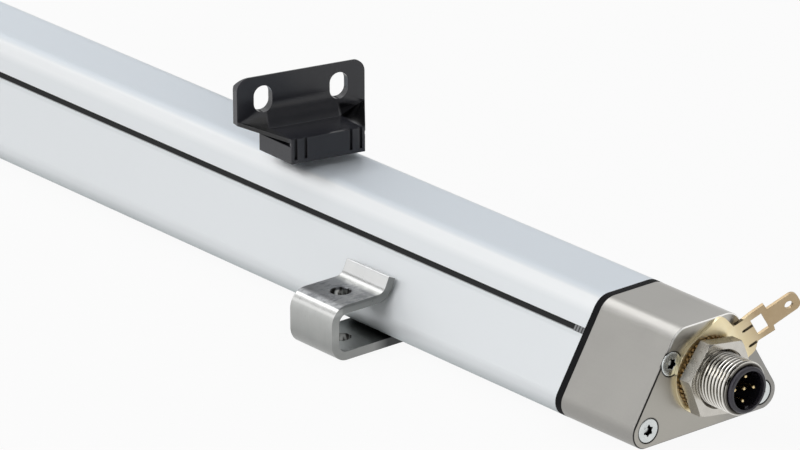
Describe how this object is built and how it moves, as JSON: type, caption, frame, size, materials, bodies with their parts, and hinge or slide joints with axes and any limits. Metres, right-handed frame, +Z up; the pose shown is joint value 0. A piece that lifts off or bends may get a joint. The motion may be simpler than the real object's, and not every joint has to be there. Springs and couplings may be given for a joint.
{
  "type": "linear encoder",
  "caption": "Enclosed linear position encoder: trapezoid aluminium profile, metal end caps, round threaded connector with earth tag, floating position magnet, sheet clamp.",
  "frame": {"origin": "centre of the profile's flat underside", "axes": "+X along the profile towards the connector, +Y to the back of the profile seen with the connector on the right, +Z up from the machine bed"},
  "size_m": [0.312, 0.0553, 0.0458],
  "materials": {
    "anodised": "satin, clear anodised",
    "rubber": "matt",
    "cap_metal": "satin die casting",
    "zinc_steel": "zinc plated",
    "nickel": "satin nickel",
    "black_plastic": "fine matt moulding",
    "gold": "gold flash",
    "brass": "rolled",
    "spring_steel": "oiled",
    "board": "solder mask",
    "component_plastic": "matt",
    "sheath": "matt",
    "coil": "enamelled wire",
    "flex_film": "amber film",
    "stainless": "rolled and bent",
    "ferrite": "ground"
  },
  "bodies": {
    "housing": {"profile": "anodised", "groove_plugs": "rubber", "front_gasket": "rubber", "rear_gasket": "rubber", "front_cap": "cap_metal", "rear_cap": "cap_metal", "front_cap_screws": "zinc_steel", "rear_cap_screws": "zinc_steel", "connector_shell": "nickel", "connector_insert": "black_plastic", "contact_pins": "gold", "connector_seal": "rubber", "earth_tag": "brass", "lock_washer": "spring_steel", "connector_nut": "nickel", "circuit_board": "board", "board_components": "component_plastic", "sensing_rod": "sheath", "pickup_coil": "coil", "rod_damper": "rubber", "connector_flex": "flex_film"},
    "clamp": {"mounting_clamp": "stainless"},
    "magnet": {"magnet_bracket": "black_plastic", "magnet_cover": "black_plastic", "magnet_bars": "ferrite"}
  },
  "joints": [
    {"name": "magnet_slide", "type": "slide", "parent": "housing", "child": "magnet", "axis": [1, 0, 0], "range_m": [-0.1256, 0.0744]},
    {"name": "clamp_slide", "type": "slide", "parent": "housing", "child": "clamp", "axis": [1, 0, 0], "range_m": [-0.185, 0.055]}
  ]
}
